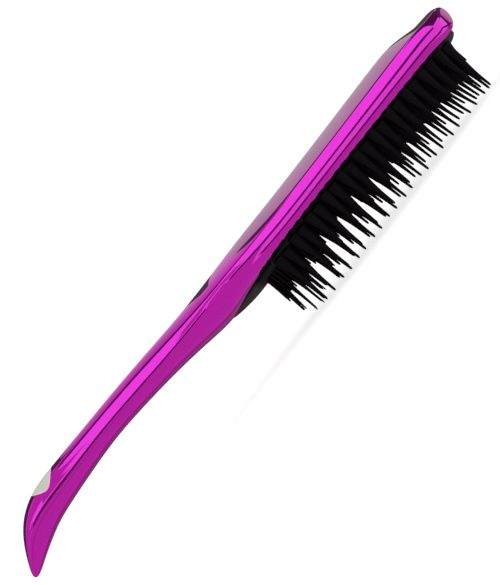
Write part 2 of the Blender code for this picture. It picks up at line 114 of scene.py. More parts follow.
# Half width of the body, as shares of half the head's width
width_shares = (
    (0.000, 0.026), (0.003, 0.064), (0.009, 0.098), (0.027, 0.166), (0.049, 0.221),
    (0.074, 0.260), (0.108, 0.277), (0.159, 0.281), (0.227, 0.298), (0.296, 0.332),
    (0.355, 0.374), (0.406, 0.443), (0.445, 0.528), (0.479, 0.626), (0.517, 0.740),
    (0.555, 0.838), (0.598, 0.919), (0.653, 0.974), (0.734, 1.000), (0.819, 1.000),
    (0.875, 0.974), (0.913, 0.928), (0.943, 0.847), (0.966, 0.719), (0.981, 0.566),
    (0.991, 0.350), (0.997, 0.175), (1.000, 0.060),
)
# Half width of the pad, a teardrop with its point at the neck
pad_shares = (
    (0.466, 0.038), (0.472, 0.119), (0.483, 0.209), (0.500, 0.319), (0.517, 0.409),
    (0.538, 0.511), (0.560, 0.604), (0.585, 0.698), (0.619, 0.783), (0.670, 0.834),
    (0.739, 0.847), (0.819, 0.847), (0.875, 0.817), (0.909, 0.770), (0.934, 0.698),
    (0.956, 0.587), (0.970, 0.451), (0.978, 0.306), (0.982, 0.170),
)
# How far the pad's crest turns up, as shares of the end rise
pad_rise_shares = (
    (0.466, 1.00), (0.483, 0.55), (0.500, 0.22), (0.525, 0.00), (0.958, 0.00),
    (0.970, 0.18), (0.978, 0.55), (0.982, 1.00),
)
# Where the body has a ring of points
ring_shares = (
    0.000, 0.003, 0.009, 0.018, 0.030, 0.045, 0.063, 0.087, 0.115, 0.150, 0.190, 0.235,
    0.280, 0.325, 0.367, 0.406, 0.438, 0.460, 0.480, 0.500, 0.520, 0.541, 0.565, 0.601,
    0.653, 0.734, 0.819, 0.883, 0.905, 0.922, 0.939, 0.957, 0.971, 0.983, 0.9905, 0.995,
    0.998, 1.000,
)
# The head's section above the crease: share of the half width, then of the height to the crest
head_dome_shares = (
    (0.0, 1.0), (0.26, 0.86), (0.50, 0.63), (0.71, 0.37), (0.855, 0.17), (0.955, 0.0),
)
# The section below the crease: share of the half width, then of the height from belly to crease
head_side_shares = (
    (0.988, 0.80), (1.0, 0.56), (0.985, 0.33), (0.945, 0.12), (0.885, 0.0), (0.45, 0.0),
    (0.0, 0.0),
)
least_dome = 0.0004  # keeps the middle of the head's back the highest point of its section
crease_level = 5
last_level = 12
crease_start_share = 0.56
crease_end_share = 0.99
crease_sharpness = 0.32  # sharp for one of the two smoothing levels, which leaves a fine rounding
grip_squareness = 2.2  # 2 is an ellipse
fullness = 1.011  # makes up for what the smoothing draws in
smoothing_weights = (1, 6, 15, 20, 15, 6, 1)
smoothing_reach_share = 0.010
smoothing_end_share = 0.12
smooth_levels = 2
hollow_levels = 1
# Finding a ring's first point, its top one
height_digits = 6  # points whose heights agree to this many digits count as level
turn_slack = 1e-4  # the turn starts a little before the first point

# Long bristles of one slice: share of the pitch along, share of the field's half width across
long_bristle_shares = ((0.75, 0.0), (0.28, 0.41), (0.28, -0.41), (0.72, 0.88), (0.72, -0.88))
# Columns of short ones: share of the pitch along, then shares of the half width to both sides
short_column_shares = (
    (0.28, (0.0, 0.13, 0.25, 0.57, 0.70, 0.83, 0.93)),
    (0.73, (0.15, 0.28, 0.41, 0.54, 0.66)),
    (0.47, (0.0, 0.16, 0.60)),
)
tall_short_column = 2
tall_short_slices = 3
short_length = 0.0088
tall_short_length = 0.0145
long_root = 0.0018
short_root = 0.0006
# How far the tips lean towards the nose, as a part of their length, by the share of the field
lean_shares = (
    (0.03, -0.08), (0.07, -0.03), (0.13, -0.02), (0.25, 0.0), (0.70, 0.0), (0.82, 0.05),
    (0.90, 0.08), (0.95, 0.05), (1.0, -0.02),
)
bend_power = 2  # the lean grows towards the tip
# How one bristle differs from the next
chance_seed = 7
lean_chance = 0.012
short_length_chance = (0.85, 1.12)
long_length_chance = (0.97, 1.0)
# A bristle's radius at its share of the way down from the pad
long_bristle_profile = (
    (-0.05, 0.00330), (0.00, 0.00300), (0.06, 0.00260), (0.14, 0.00220), (0.27, 0.00170),
    (0.40, 0.00130), (0.50, 0.00102), (0.60, 0.00080), (0.72, 0.00062), (0.85, 0.00050),
    (0.96, 0.00043), (0.985, 0.00032), (1.0, 0.00012),
)
short_bristle_profile = ((-0.08, 0.00090), (0.25, 0.00062), (0.97, 0.00032), (1.0, 0.00014))
edge_bristle_profile = (
    (-0.08, 0.00240), (0.0, 0.00225), (0.3, 0.00150), (0.6, 0.00085), (0.97, 0.00040),
    (1.0, 0.00015),
)
edge_bristle_share = 0.28
edge_bristle_length = 0.0142
# More short ones stand close together at both ends of the field
end_slices = (0, 1, 2, 9, 10, 11)
end_columns = 6
end_offset_shares = (0.04, 0.2, 0.36, 0.52, 0.68)
end_length = 0.0080
# A close row of them runs along each side: its place across, then its lengths along the field
side_row_share = 0.84
side_row_lengths = (
    (0.0, 0.0100), (0.2, 0.0086), (0.4, 0.0062), (0.6, 0.0062), (0.8, 0.0078), (1.0, 0.0088),
)
# Thin long ones fill the neck's end: (place, distance to one side, length)
neck_end_bristles = (
    (0.0106, 0.0028, 0.0158), (0.0106, -0.0028, 0.0158), (0.0125, 0.0, 0.0192),
    (0.0125, 0.0070, 0.0188), (0.0125, -0.0070, 0.0188), (0.0152, 0.0030, 0.0190),
    (0.0152, -0.0030, 0.0190), (0.0188, 0.0042, 0.0172), (0.0188, -0.0042, 0.0172),
)
thin_share = 0.6
long_bristle_sides = 12
short_bristle_sides = 6
strand_angle = 50  # in degrees: sharper edges stay sharp when a bundle is shaded smooth

# Camera: the photograph's viewing angle and scale
camera_place = (0.0, -0.700, 0.068)
camera_target = (0.00237, 0.0, 0.02262)
camera_roll = math.radians(-52.5)
picture_height = 585
pixels_per_millimetre = 2.979
film_width = 36
millimetres = 1000
nearest_seen = 0.01

# Studio
room_light = 0.5
floor_size = 12
floor_grey = (0.35, 0.35, 0.35, 1.0)
floor_glow = 0.78
lamp_place = (0.2, -0.4, 1.4)
lamp_spread = math.radians(70)
lamp_strength = 1.6

# Cards that show only in reflections: their colours, and the edges and heights that they share
rosy_card = (0.50, 0.34, 0.44)
mauve_card = (0.58, 0.36, 0.54)
plum_card = (0.30, 0.16, 0.25)
wine_card = (0.16, 0.06, 0.11)
dim_card = (0.30, 0.22, 0.26)
dark_card = (0.08, 0.06, 0.07)
grey_card = (0.47, 0.48, 0.43)
pale_card = (0.88, 0.84, 0.86)
brush_middle = 0.03  # the height that turns round the brush are measured at
far = 3.0
near_front = -0.6
far_front = -1.0
floor_back = 0.95
brush_back = 0.03
back_start = 0.02
lit_end = 1.3
lit_corner = (0.125, -0.05)
lit_front = (lit_end, near_front)
nose_turn = (0.19, -0.02)
under_lift = 0.0003
right_lift = 0.0004
lit_lift = 0.0006
line_lift = 0.0009
# Oblong ones on the floor: left, right, back, front, height, colour
oblong_cards = (
    ("near_floor", -far, far, 0.0, near_front, under_lift, rosy_card),
    ("floor_below", -far, far, brush_back, 0.0, under_lift, plum_card),
    ("grip_line", -0.3, -0.07, -0.095, -0.11, lit_lift, dim_card),
    ("back_floor", -far, far, floor_back, brush_back, under_lift, wine_card),
    ("right_floor", 0.14, far, floor_back, brush_back, right_lift, rosy_card),
)
# Others on the floor, such as the head's bright field and its dark edges: height, colour, outline
shaped_cards = (
    ("lit_floor", lit_lift, pale_card, ((-0.01, -0.05), lit_corner, lit_front, (-0.16, near_front))),
    ("lit_right", lit_lift, pale_card, (lit_corner, (0.20, 0.02), (lit_end, 0.55), lit_front)),
    ("lit_edge", lit_lift, dark_card, ((0.20, 0.02), (0.20, 0.05), (lit_end, 0.85), (lit_end, 0.55))),
    ("head_line", line_lift, dark_card, ((0.0, -0.05), lit_corner, (0.13, -0.066), (-0.01, -0.066))),
    ("nose_line", line_lift, dark_card, (lit_corner, nose_turn, (0.215, -0.022), (0.13, -0.066))),
    ("nose_back_line", line_lift, dark_card, (nose_turn, (0.19, 0.08), (0.215, 0.08), (0.215, -0.022))),
    (
        "far_floor", lit_lift, dark_card,
        ((-0.42, near_front), (far, near_front), (far, far_front), (-0.60, far_front)),
    ),
)
# Ones along the brush: left, right, degrees round the brush from and to, distance, colour
view_cards = (
    ("horizon", -0.60, far, -1.6, 9, 1.0, dark_card),
    ("left_low", -far, -0.60, -1.6, 22, 1.0, rosy_card),
    ("left_gap", -0.168, -0.122, 15, 36, 0.3, rosy_card),
    ("left_upper", -1.0, -0.110, 36, 100, 0.3, rosy_card),
    ("overhead", -0.35, 0.03, 84, 103, 0.8, dark_card),
    ("grip_back", -far, back_start, 103, 182, 1.0, mauve_card),
    ("crease_back", back_start, far, 118, 150, 1.0, dark_card),
    ("head_back", back_start, far, 150, 182, 1.0, grey_card),
    ("nose_back", 0.24, far, 170, 183, 0.9, dark_card),
    ("left_back", -far, -0.15, 112, 182, 0.9, dark_card),
)
# Upright ones across the brush's line: place, front, back, top, colour
side_cards = (
    ("left_side", -1.3, -1.4, 1.0, 1.2, rosy_card),
    ("right_side", 1.35, 0.85, 2.0, 1.2, rosy_card),
    ("right_edge", lit_end, 0.55, 0.85, far, dark_card),
)
right_patch_outline = ((-0.35, 0.11), (0.69, 0.04), (0.69, far), (-1.6, far))
# A small one close behind the neck: for each edge its degrees round the brush and its two ends
neck_patch_distance = 0.06
neck_patch_edges = ((178, (-0.0175, 0.0005)), (140, (-0.006, -0.010)))

# Finishes
coat_weight = 0.5
coat_roughness = 0.02
satin_spread = 0.08
plated_magenta = (0.88, 0.015, 0.76, 1.0)
pad_nylon = (0.058, 0.067, 0.057, 1.0)
# The pad's colour where the bristles crowd it, darkened as painted shade
painted_shade_nylon = (0.008, 0.009, 0.008, 1.0)
bristle_nylon = (0.0035, 0.0035, 0.004, 1.0)
pale_badge = (0.62, 0.66, 0.53, 1.0)
# A painted reflection of the magenta plating, laid round the disc's edge
painted_reflection_rosy = (0.95, 0.62, 0.88, 1.0)
white_plastic = (0.62, 0.62, 0.60, 1.0)
plain_steel = (0.50, 0.50, 0.52, 1.0)
# Where Blender's Mix node keeps its two colours and its result
mix_colour_inputs = (6, 7)
mix_colour_output = 2
plane_corners = (0, 1, 3, 2)  # the points of Blender's plane in order round it

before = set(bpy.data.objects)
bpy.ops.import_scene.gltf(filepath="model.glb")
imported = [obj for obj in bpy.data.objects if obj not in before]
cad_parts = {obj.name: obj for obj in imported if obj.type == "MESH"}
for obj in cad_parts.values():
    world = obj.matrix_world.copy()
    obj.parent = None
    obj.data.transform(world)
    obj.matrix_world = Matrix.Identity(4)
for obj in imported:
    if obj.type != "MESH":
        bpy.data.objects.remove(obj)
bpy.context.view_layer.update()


# Working with Blender's tools

def leave_edit():
    """Goes back to object mode with nothing selected, so that a tool reaches one piece only."""
    if bpy.context.mode != "OBJECT":
        bpy.ops.object.mode_set(mode="OBJECT")
    bpy.ops.object.select_all(action="DESELECT")
    bpy.context.view_layer.objects.active = None


def take(piece):
    leave_edit()
    piece.select_set(True)
    bpy.context.view_layer.objects.active = piece


def edit(piece):
    take(piece)
    bpy.ops.object.mode_set(mode="EDIT")


def chosen_numbers(piece):
    """The numbers of the piece's selected points."""
    shape = bmesh.from_edit_mesh(piece.data)
    return [point.index for point in shape.verts if point.select]


def add_modifier(piece, kind, **settings):
    """Adds a modifier and applies it."""
    take(piece)
    change = piece.modifiers.new(kind.lower(), kind)
    for name, value in settings.items():
        setattr(change, name, value)
    bpy.ops.object.modifier_apply(modifier=change.name)


def cut(piece, other, operation="DIFFERENCE", keep=False):
    add_modifier(piece, "BOOLEAN", object=other, operation=operation, solver="EXACT")
    if not keep:
        bpy.data.objects.remove(other)


def subdivide_smoothly(piece, levels):
    add_modifier(piece, "SUBSURF", levels=levels, render_levels=levels)


def copy_of(piece, name):
    twin = piece.copy()
    twin.data = piece.data.copy()
    twin.name = name
    bpy.context.scene.collection.objects.link(twin)
    return twin


def settle(piece, angle=30):
    """Puts the piece's place into its mesh and shades it smooth but for its sharp edges."""
    take(piece)
    bpy.ops.object.transform_apply(location=True, rotation=True, scale=True)
    bpy.ops.object.shade_smooth_by_angle(angle=math.radians(angle))


# The brush's outlines

def curve_at(points, place):
    """Reads a smooth curve through the points, which never overshoots them."""
    if place <= points[0][0]:
        return points[0][1]
    if place >= points[-1][0]:
        return points[-1][1]
    last = len(points) - 1
    slopes = [
        (points[i + 1][1] - points[i][1]) / (points[i + 1][0] - points[i][0])
        for i in range(last)
    ]

    def tangent(i):
        if i in (0, last):
            return slopes[min(i, last - 1)]
        before, after = slopes[i - 1], slopes[i]
        return 0.0 if before * after <= 0 else 2 * before * after / (before + after)

    i = max(n for n in range(last) if points[n][0] <= place)
    width = points[i + 1][0] - points[i][0]
    t = (place - points[i][0]) / width
    return (
        points[i][1] * (2 * t**3 - 3 * t**2 + 1)
        + points[i + 1][1] * (3 * t**2 - 2 * t**3)
        + tangent(i) * width * (t**3 - 2 * t**2 + t)
        + tangent(i + 1) * width * (t**3 - t**2)
    )


def fair_at(points, place):
    """Reads the curve averaged over a short reach, so that reflections run without kinks."""
    reach = min(smoothing_reach_share, smoothing_end_share * min(place, 1 - place))
    steps = len(smoothing_weights) // 2
    total = sum(
        weight * curve_at(points, place + reach * (n - steps) / steps)
        for n, weight in enumerate(smoothing_weights)
    )
    return total / sum(smoothing_weights)


def along(share):
    return (share - half) * overall_length


def share_of(x):
    return x / overall_length + half


def height(share):
    return bristle_length + share * body_depth


def crest_at(x):
    return height(fair_at(crest_shares, share_of(x)))


def belly_at(x):
    return height(fair_at(belly_shares, share_of(x)))


def half_width_at(x):
    return fair_at(width_shares, share_of(x)) * head_width / 2


def pad_half_width_at(x):
    return curve_at(pad_shares, share_of(x)) * head_width / 2


def pad_surface(x, y):
    """Height of the pad's outer surface, crowned across and turned up at both ends."""
    across = abs(y) / (pad_widest_share * head_width / 2)
    rise = curve_at(pad_rise_shares, share_of(x)) * pad_end_rise
    return bristle_length + pad_crown * across**crown_power + rise


def mix(first, second, share):
    return first + (second - first) * share


def body_outline(x, inset):
    """One side of the body's section at x, from the crest round to the belly."""
    share = share_of(x)
    to_head = (share - neck_start_share) / (neck_end_share - neck_start_share)
    to_head = min(1.0, max(0.0, to_head))
    to_head = to_head * to_head * (3 - 2 * to_head)
    crest = crest_at(x) - inset
    belly = belly_at(x) + inset
    width = half_width_at(x) - inset
    head_crease = min(height(curve_at(crease_shares, share)) - inset, crest - least_dome)
    widest = mix(belly, crest, curve_at(widest_shares, share))
    levels = []
    for level, (across, up) in enumerate(head_dome_shares + head_side_shares):
        turn = math.pi * level / last_level
        out = abs(math.sin(turn)) ** (2 / grip_squareness)
        rise = abs(math.cos(turn)) ** (2 / grip_squareness)
        farthest = crest if level <= last_level / 2 else belly
        grip = (fullness * width * out, mix(widest, farthest, fullness * rise))
        low, high = (head_crease, crest) if level <= crease_level else (belly, head_crease)
        head = (width * across, mix(low, high, up))
        levels.append((mix(grip[0], head[0], to_head), mix(grip[1], head[1], to_head)))
    return levels


# Forms

def drawn_along(name, places, outline):
    """A closed form: a ring of points extruded from place to place, each ring to its outline."""
    leave_edit()
    first = outline(places[0])
    count = 2 * (len(first) - 1)
    bpy.ops.mesh.primitive_circle_add(
        vertices=count,
        radius=first[1][0],
        fill_type="NGON",
        location=(places[0], 0, first[0][1]),
        rotation=(0, math.pi / 2, 0),
    )
    piece = bpy.context.object
    piece.name = name
    bpy.ops.object.transform_apply(location=True, rotation=True, scale=True)
    edit(piece)
    bpy.ops.mesh.select_all(action="SELECT")
    ring = ring_order(piece, chosen_numbers(piece))
    draw_ring(piece, ring, first)
    for before, place in zip(places, places[1:]):
        bpy.ops.mesh.extrude_region_move(TRANSFORM_OT_translate={"value": (place - before, 0, 0)})
        ring = ring_order(piece, chosen_numbers(piece))
        draw_ring(piece, ring, outline(place))
    bpy.ops.mesh.select_all(action="SELECT")
    bpy.ops.mesh.normals_make_consistent(inside=False)
    leave_edit()
    return piece


def ring_order(piece, numbers):
    """The ring's points in order, from the top one over +Y and back over -Y."""
    shape = bmesh.from_edit_mesh(piece.data)
    shape.verts.ensure_lookup_table()
    points = {number: shape.verts[number].co.copy() for number in numbers}
    top = max(points.values(), key=lambda co: (round(co.z, height_digits), co.y))
    middle = sum(points.values(), Vector()) / len(points)
    start = math.atan2(top.y - middle.y, top.z - middle.z) - turn_slack

    def turn(number):
        co = points[number]
        return (math.atan2(co.y - middle.y, co.z - middle.z) - start) % math.tau

    return sorted(numbers, key=turn)


def draw_ring(piece, ring, outline):
    """Moves the ring's points to the outline and its mirror image."""
    levels = outline + [(-y, z) for y, z in reversed(outline[1:-1])]
    shape = bmesh.from_edit_mesh(piece.data)
    shape.verts.ensure_lookup_table()
    for number, (y, z) in zip(ring, levels):
        point = shape.verts[number]
        point.co.y = y
        point.co.z = z
    bmesh.update_edit_mesh(piece.data)


def body_form(name, inset, first_share, last_share):
    """The brush's body drawn in by the inset, between two places along it."""
    inner = [share for share in ring_shares if first_share < share < last_share]
    places = [along(share) for share in [first_share] + inner + [last_share]]
    return drawn_along(name, places, lambda x: body_outline(x, inset))


def sharpen_crease(body):
    """Keeps the head's edge, between its back and its sides, crisp when the body is smoothed."""
    edit(body)
    bpy.ops.mesh.select_all(action="DESELECT")
    shape = bmesh.from_edit_mesh(body.data)
    for edge in shape.edges:
        first, last = (point.co for point in edge.verts)
        share = share_of((first.x + last.x) / 2)
        if crease_start_share < share < crease_end_share and edge_on_crease(first, last):
            edge.select_set(True)
    bmesh.update_edit_mesh(body.data)
    bpy.ops.transform.edge_crease(value=crease_sharpness)
    leave_edit()


def edge_on_crease(first, last):
    """Whether both of an edge's ends lie on the crease, and not on one section of the body."""
    if abs(first.x - last.x) < clearance:
        return False
    return all(
        abs(abs(end.y) - body_outline(end.x, 0.0)[crease_level][0]) < clearance
        and abs(end.z - body_outline(end.x, 0.0)[crease_level][1]) < clearance
        for end in (first, last)
    )


def pad_form(name, inset, bottom, top):
    """A form over the pad's plan, drawn in by the inset, between two surfaces."""
    start = along(pad_shares[0][0]) + point_inset_ratio * inset
    end = along(pad_shares[-1][0]) - inset
    first, last = pad_shares[0][0], pad_shares[-1][0]
    places = [mix(start, end, (share - first) / (last - first)) for share, _ in pad_shares]
    least = pad_half_width_at(along(first)) + max(inset, 0)

    def outline(x):
        width = max(pad_half_width_at(x), least) - inset
        return [(0.0, top(x, 0.0)), (width, top(x, width))] + [
            (share * width, bottom(x, share * width)) for share in pad_across_shares
        ]

    return drawn_along(name, places, outline)


def upright_rod(name, centre, radius, bottom, top, sides):
    leave_edit()
    bpy.ops.mesh.primitive_cylinder_add(
        vertices=sides,
        radius=radius,
        depth=top - bottom,
        location=(centre[0], centre[1], (bottom + top) / 2),
    )
    piece = bpy.context.object
    piece.name = name
    bpy.ops.object.transform_apply(location=True, rotation=True, scale=True)
    return piece


# Pieces

badge_place = along(badge_place_share)
badge_centre = (badge_place, 0.0)


def slot_form(name, inset):
    """The long opening in the grip's belly, drawn in by the inset."""
    start = along(slot_start_share) + inset
    end = along(slot_end_share) - inset
    length = end - start

    def outline(x):
        from_middle = abs(2 * (x - start) / length - 1)
        rounding = math.sqrt(max(0.0, 1 - from_middle**slot_end_power))
        width = (slot_width_share * half_width_at(x) - inset) * mix(half, 1.0, rounding)
        low = belly_at(x) - overrun
        return [(0.0, slot_top), (width, slot_top), (width, low), (0.0, low)]

    return drawn_along(name, [start + share * length for share in slot_ring_shares], outline)


def badge_form(name, margin):
    """The disc let into the grip: a round patch of the grip's own surface."""
    crown = crest_at(badge_place)
    bottom = crown - badge_skirt - margin
    top = crown + overrun
    disc = upright_rod(name, badge_centre, badge_radius + margin, bottom, top, badge_sides)
    depth = badge_thickness + margin
    core = body_form("badge_core", depth, badge_cut_start_share, badge_cut_end_share)
    subdivide_smoothly(core, smooth_levels)
    cut(disc, core)
    return disc


def make_shell(body, hollow):
    """Grip and head back: one hollow plated moulding, open for the cover and for the pad."""
    shell = copy_of(body, "plated_shell")
    cut(shell, hollow, keep=True)
    cut(shell, slot_form("slot", 0.0))
    opening = pad_form(
        "opening",
        -seam_gap,
        lambda x, y: bristle_length - overrun,
        lambda x, y: belly_at(x) + shell_wall + pad_edge_wall,
    )
    cut(shell, opening)
    cut(shell, badge_form("badge_seat", seam_gap))
    settle(shell)
    return shell


def make_cover(body, hollow):
    """The strip that closes the grip's belly."""
    cover = copy_of(body, "belly_cover")
    cut(cover, slot_form("cover_outline", seam_gap), "INTERSECT")
    cut(cover, hollow, keep=True)
    settle(cover)
    return cover


def make_badge(body):
    badge = badge_form("blank_badge", 0.0)
    cut(badge, body, "INTERSECT", keep=True)
    settle(badge)
    return badge


def make_pad():
    """The crowned black moulding that carries the bristles."""
    pad = pad_form("nylon_pad", 0.0, pad_surface, lambda x, y: pad_surface(x, y) + pad_edge_height)
    subdivide_smoothly(pad, smooth_levels)
    inside = pad_form(
        "pad_inside",
        pad_edge_wall,
        lambda x, y: pad_surface(x, y) + pad_skin,
        lambda x, y: pad_surface(x, y) + pad_edge_height + overrun,
    )
    cut(pad, inside)
    settle(pad)
    return pad


def bristle_form(name, profile, sides):
    """One bristle of unit length, pointing down from the origin."""
    leave_edit()
    bpy.ops.mesh.primitive_circle_add(
        vertices=sides, radius=profile[0][1], fill_type="NGON", location=(0, 0, -profile[0][0])
    )
    piece = bpy.context.object
    piece.name = name
    bpy.ops.object.transform_apply(location=True, rotation=True, scale=True)
    edit(piece)
    bpy.ops.mesh.select_all(action="SELECT")
    for before, here in zip(profile, profile[1:]):
        bpy.ops.mesh.extrude_region_move(
            TRANSFORM_OT_translate={"value": (0, 0, before[0] - here[0])}
        )
        thinner = here[1] / before[1]
        bpy.ops.transform.resize(value=(thinner, thinner, 1), center_override=(0, 0, -here[0]))
    bpy.ops.mesh.select_all(action="SELECT")
    bpy.ops.mesh.normals_make_consistent(inside=False)
    leave_edit()
    return piece


field_start = along(field_start_share)
field_end = along(field_end_share)
slice_pitch = (field_end - field_start) / slice_count


def slice_ends(index):
    """Both ends of a slice: (x, half width)."""
    start = along(first_slice_share) if index == 0 else field_start + index * slice_pitch
    end = field_start + (index + 1) * slice_pitch
    return [(x, pad_half_width_at(x) - pad_border - clearance) for x in (start, end)]


def room_at(index, x, root):
    """How far to one side a root can stand at x and stay on its slice."""
    (start, first), (end, last) = slice_ends(index)
    near, far = ((place - start) / (end - start) for place in (x - root, x + root))
    return min(mix(first, last, near), mix(first, last, far)) - root


def bristles_of(index):
    """The bristles of one slice: (x, y, length, kind)."""
    start = field_start + index * slice_pitch
    least = slice_ends(index)[0][0]
    found = []
    for share, across in long_bristle_shares if index else ():
        x = max(start + share * slice_pitch, least + long_root)
        room = room_at(index, x, long_root)
        y = across * (pad_half_width_at(x) - pad_border)
        found.append((x, min(room, max(-room, y)), bristle_length, "long"))
    for x, y, length in neck_end_bristles:
        if start <= x < start + slice_pitch:
            found.append((x, y, length, "thin"))
    for column, (share, offsets) in enumerate(short_column_shares):
        tall = column == tall_short_column and index < tall_short_slices
        length = tall_short_length if tall else short_length
        x = max(start + share * slice_pitch, least + short_root)
        reach = pad_half_width_at(x) - pad_border
        for across in offsets:
            for side in (1, -1) if across else (1,):
                y = side * across * reach
                if abs(y) < room_at(index, x, short_root):
                    found.append((x, y, length, "short"))
    if index:
        x = start + edge_bristle_share * slice_pitch
        y = room_at(index, x, short_root)
        found += [(x, side * y, edge_bristle_length, "edge") for side in (1, -1)]
    return found + filling_bristles(index, start, least)


def filling_bristles(index, start, least):
    """The short bristles that close the field at its ends and along its sides."""
    found = []
    for column in range(end_columns):
        for row, across in enumerate(end_offset_shares + (side_row_share,)):
            at_side = across == side_row_share
            if not at_side and index not in end_slices:
                continue
            for side in (1, -1):
                stagger = (row + (side > 0)) % 2 / 2
                x = max(start + (column + stagger) / end_columns * slice_pitch, least + short_root)
                share = (x - field_start) / (field_end - field_start)
                length = curve_at(side_row_lengths, share) if at_side else end_length
                found.append((x, side * across * room_at(index, x, short_root), length, "short"))
    return found


def make_bristles(index, forms, chance):
    """The strands of one slice, each one closed and sunk a little into the pad."""
    strands = []
    for x, y, length, kind in bristles_of(index):
        strand = copy_of(forms[kind], f"strand_{index + 1:02d}")
        lean = curve_at(lean_shares, (x - field_start) / (field_end - field_start))
        lean += chance.uniform(-lean_chance, lean_chance)
        sway = chance.uniform(-lean_chance, lean_chance)
        longer = chance.uniform(*(short_length_chance if kind == "short" else long_length_chance))
        root_height = pad_surface(x, y)
        for point in strand.data.vertices:
            down = -point.co.z * length * longer
            bent = max(0.0, down / length) ** bend_power * length
            point.co = (
                x + point.co.x + lean * bent,
                y + point.co.y + sway * bent,
                root_height - down,
            )
        strands.append(strand)
    leave_edit()
    for strand in strands:
        strand.select_set(True)
    bpy.context.view_layer.objects.active = strands[0]
    bpy.ops.object.join()
    bundle = bpy.context.object
    bundle.name = f"strands_{index + 1:02d}"
    settle(bundle, strand_angle)
    return bundle


# Materials

def new_material(name, colour, roughness, metallic=0.0):
    material = bpy.data.materials.new(name)
    material.use_nodes = True
    shader = material.node_tree.nodes["Principled BSDF"]
    shader.inputs["Base Color"].default_value = colour
    shader.inputs["Roughness"].default_value = roughness
    shader.inputs["Metallic"].default_value = metallic
    material.diffuse_color = colour
    return material, material.node_tree, shader


def grain(tree, scale, detail=3.0):
    """A fine noise that follows the piece."""
    place = tree.nodes.new("ShaderNodeTexCoord")
    noise = tree.nodes.new("ShaderNodeTexNoise")
    noise.inputs["Scale"].default_value = scale
    noise.inputs["Detail"].default_value = detail
    tree.links.new(place.outputs["Object"], noise.inputs["Vector"])
    return noise.outputs["Fac"]


def in_range(tree, value, low, high):
    """The value from 0 to 1 spread between two numbers."""
    spread = tree.nodes.new("ShaderNodeMapRange")
    spread.inputs["To Min"].default_value = low
    spread.inputs["To Max"].default_value = high
    tree.links.new(value, spread.inputs["Value"])
    return spread.outputs["Result"]


def ramp(tree, value, start, end):
    """0 below the start, 1 above the end and even between them."""
    share = in_range(tree, value, 0.0, 1.0)
    share.node.inputs["From Min"].default_value = start
    share.node.inputs["From Max"].default_value = end
    return share


def blended(tree, share, first, second):
    """A colour between two, by the share."""
    blend = tree.nodes.new("ShaderNodeMix")
    blend.data_type = "RGBA"
    tree.links.new(share, blend.inputs["Factor"])
    for number, colour in zip(mix_colour_inputs, (first, second)):
        socket = blend.inputs[number]
        if isinstance(colour, tuple):
            socket.default_value = colour
        else:
            tree.links.new(colour, socket)
    return blend.outputs[mix_colour_output]


def distance_from(tree, centre, across):
    """How far a point of the piece is from the centre, measured in the directions given."""
    place = tree.nodes.new("ShaderNodeTexCoord")
    away = tree.nodes.new("ShaderNodeVectorMath")
    away.operation = "SUBTRACT"
    away.inputs[1].default_value = centre
    flat = tree.nodes.new("ShaderNodeVectorMath")
    flat.operation = "MULTIPLY"
    flat.inputs[1].default_value = across
    length = tree.nodes.new("ShaderNodeVectorMath")
    length.operation = "LENGTH"
    tree.links.new(place.outputs["Object"], away.inputs[0])
    tree.links.new(away.outputs["Vector"], flat.inputs[0])
    tree.links.new(flat.outputs["Vector"], length.inputs[0])
    return length.outputs["Value"]


def darker(colour, share):
    """The colour times the share, which lightens it above 1."""
    return (colour[0] * share, colour[1] * share, colour[2] * share, 1.0)


def mottle(tree, shader, scale, first, second):
    """Colours the piece between two colours, by a fine noise."""
    tree.links.new(blended(tree, grain(tree, scale), first, second), shader.inputs["Base Color"])


def vary_roughness(tree, shader, scale, low, high):
    tree.links.new(in_range(tree, grain(tree, scale), low, high), shader.inputs["Roughness"])


def bump(tree, shader, value, strength, distance):
    relief = tree.nodes.new("ShaderNodeBump")
    relief.inputs["Strength"].default_value = strength
    relief.inputs["Distance"].default_value = distance
    tree.links.new(value, relief.inputs["Height"])
    tree.links.new(relief.outputs["Normal"], shader.inputs["Normal"])


def plated_finish(name):
    """Magenta mirror plating under a clear lacquer."""
    material, tree, shader = new_material(name, plated_magenta, roughness=0.05, metallic=1.0)
    shader.inputs["Coat Weight"].default_value = coat_weight
    shader.inputs["Coat Roughness"].default_value = coat_roughness
    mottle(tree, shader, scale=90.0, first=plated_magenta, second=darker(plated_magenta, share=0.94))
    vary_roughness(tree, shader, scale=900.0, low=0.025, high=0.06)
    bump(tree, shader, grain(tree, scale=220.0, detail=1.0), strength=0.10, distance=0.00005)
    return material


def nylon_finish(name, colour, roughness, gloss):
    """Black moulded nylon with a fine satin grain."""
    material, tree, shader = new_material(name, colour, roughness)
    shader.inputs["Specular IOR Level"].default_value = gloss
    mottle(
        tree, shader, scale=400.0, first=darker(colour, share=0.7), second=darker(colour, share=1.5)
    )
    low, high = roughness - satin_spread, roughness + satin_spread
    vary_roughness(tree, shader, scale=1500.0, low=low, high=high)
    bump(tree, shader, grain(tree, scale=2600.0), strength=0.25, distance=0.00004)
    return material


def pad_finish():
    """The pad's nylon with painted shade: darker over the bristle field, where the bristles would shade
    it, than at its ends.
    """
    material = nylon_finish("black_pad", pad_nylon, roughness=0.42, gloss=0.2)
    tree = material.node_tree
    shader = tree.nodes["Principled BSDF"]
    grained = shader.inputs["Base Color"].links[0].from_socket
    middle = (field_start + field_end) / 2
    reach = (field_end - field_start) / 2
    # Painted shade: the pad goes darker over the bristle field, in place of the shade that the bristles
    # cast on it
    away = distance_from(tree, (middle, 0, 0), (1, 0, 0))
    outside_painted_shade = ramp(tree, away, reach - painted_shade_fade, reach + painted_shade_fade)
    tree.links.new(blended(tree, outside_painted_shade, painted_shade_nylon, grained), shader.inputs["Base Color"])
    return material


